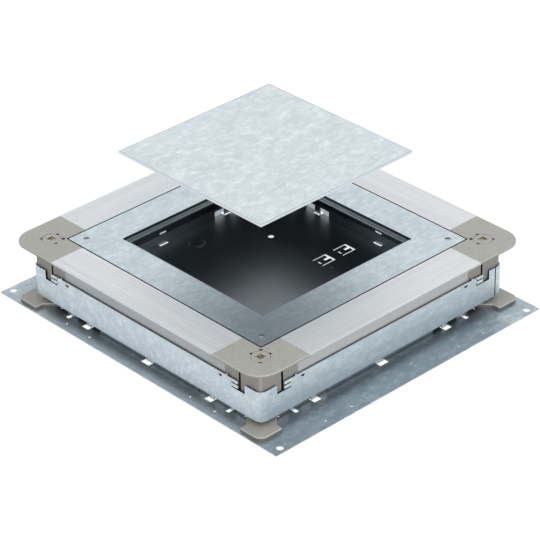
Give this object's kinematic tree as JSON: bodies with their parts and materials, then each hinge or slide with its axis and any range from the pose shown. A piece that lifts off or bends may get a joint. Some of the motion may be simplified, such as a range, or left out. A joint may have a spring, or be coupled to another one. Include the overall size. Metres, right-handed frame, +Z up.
{
  "type": "floor socket box",
  "caption": "Square floor socket box for screed: steel base, height-adjustable aluminium frame on corner spindles, cover plate with opening and loose lid.",
  "frame": {"origin": "middle of the base plate's underside, on the raw floor", "axes": "+Z is up; +Y runs along the longer side of the base plate; +X along its shorter side; the side seen on the picture's left is -X, the one on its right is -Y"},
  "size_m": [0.367, 0.41, 0.1737],
  "materials": {
    "galvanised_sheet": "hot-dip galvanised sheet with a faint spangle",
    "galvanised_plate": "hot-dip galvanised plate with a pale wispy spangle",
    "extruded_aluminium": "plain extruded aluminium with fine lines along its length",
    "grey_plastic": "moulded grey-beige plastic with a fine grain",
    "plain_steel": "plain folded steel",
    "screw_steel": "bright zinc",
    "yellow_zinc_steel": "yellow zinc"
  },
  "bodies": {
    "base": {"base_plate": "galvanised_sheet", "shuttering_band": "galvanised_sheet", "spindle_nuts": "screw_steel", "foot_screws": "screw_steel", "inner_wall_right": "galvanised_sheet", "inner_wall_back": "galvanised_sheet", "inner_wall_left": "galvanised_sheet", "inner_wall_front": "galvanised_sheet", "corner_post_back_right": "grey_plastic", "corner_post_back_left": "grey_plastic", "corner_post_front_left": "grey_plastic", "corner_post_front_right": "grey_plastic"},
    "frame": {"cover_plate": "galvanised_plate", "cover_screws": "screw_steel", "edge_profile_right": "extruded_aluminium", "edge_profile_back": "extruded_aluminium", "edge_profile_left": "extruded_aluminium", "edge_profile_front": "extruded_aluminium", "corner_block_back_right": "grey_plastic", "corner_block_back_left": "grey_plastic", "corner_block_front_left": "grey_plastic", "corner_block_front_right": "grey_plastic", "lid_rail_right": "plain_steel", "lid_rail_back": "plain_steel", "lid_rail_left": "plain_steel", "lid_rail_front": "plain_steel", "spindle_bush_back_right": "grey_plastic", "spindle_bush_back_left": "grey_plastic", "spindle_bush_front_left": "grey_plastic", "spindle_bush_front_right": "grey_plastic"},
    "lid": {"lid": "galvanised_plate"},
    "spindle_back_right": {"spindle_back_right": "yellow_zinc_steel", "spindle_clip_back_right": "screw_steel"},
    "spindle_back_left": {"spindle_back_left": "yellow_zinc_steel", "spindle_clip_back_left": "screw_steel"},
    "spindle_front_left": {"spindle_front_left": "yellow_zinc_steel", "spindle_clip_front_left": "screw_steel"},
    "spindle_front_right": {"spindle_front_right": "yellow_zinc_steel", "spindle_clip_front_right": "screw_steel"}
  },
  "joints": [
    {"name": "frame_lift", "type": "slide", "parent": "base", "child": "frame", "axis": [0, 0, 1], "range_m": [0, 0.0517]},
    {"name": "lid_lift", "type": "slide", "parent": "frame", "child": "lid", "axis": [0, 0, 1], "range_m": [-0.1004, 0]},
    {"name": "turn_spindle_back_right", "type": "hinge", "parent": "frame", "child": "spindle_back_right", "pos_m": [0.1531, 0.1531, 0.07], "axis": [0, 0, 1], "range_deg": [0, 14900]},
    {"name": "turn_spindle_back_left", "type": "hinge", "parent": "frame", "child": "spindle_back_left", "pos_m": [-0.1531, 0.1531, 0.07], "axis": [0, 0, 1], "range_deg": [0, 14900]},
    {"name": "turn_spindle_front_left", "type": "hinge", "parent": "frame", "child": "spindle_front_left", "pos_m": [-0.1531, -0.1531, 0.07], "axis": [0, 0, 1], "range_deg": [0, 14900]},
    {"name": "turn_spindle_front_right", "type": "hinge", "parent": "frame", "child": "spindle_front_right", "pos_m": [0.1531, -0.1531, 0.07], "axis": [0, 0, 1], "range_deg": [0, 14900]}
  ],
  "couplings": [
    {"joint": "turn_spindle_back_right", "follows": "frame_lift", "rad_per_m": 5026.5},
    {"joint": "turn_spindle_back_left", "follows": "frame_lift", "rad_per_m": 5026.5},
    {"joint": "turn_spindle_front_left", "follows": "frame_lift", "rad_per_m": 5026.5},
    {"joint": "turn_spindle_front_right", "follows": "frame_lift", "rad_per_m": 5026.5}
  ]
}
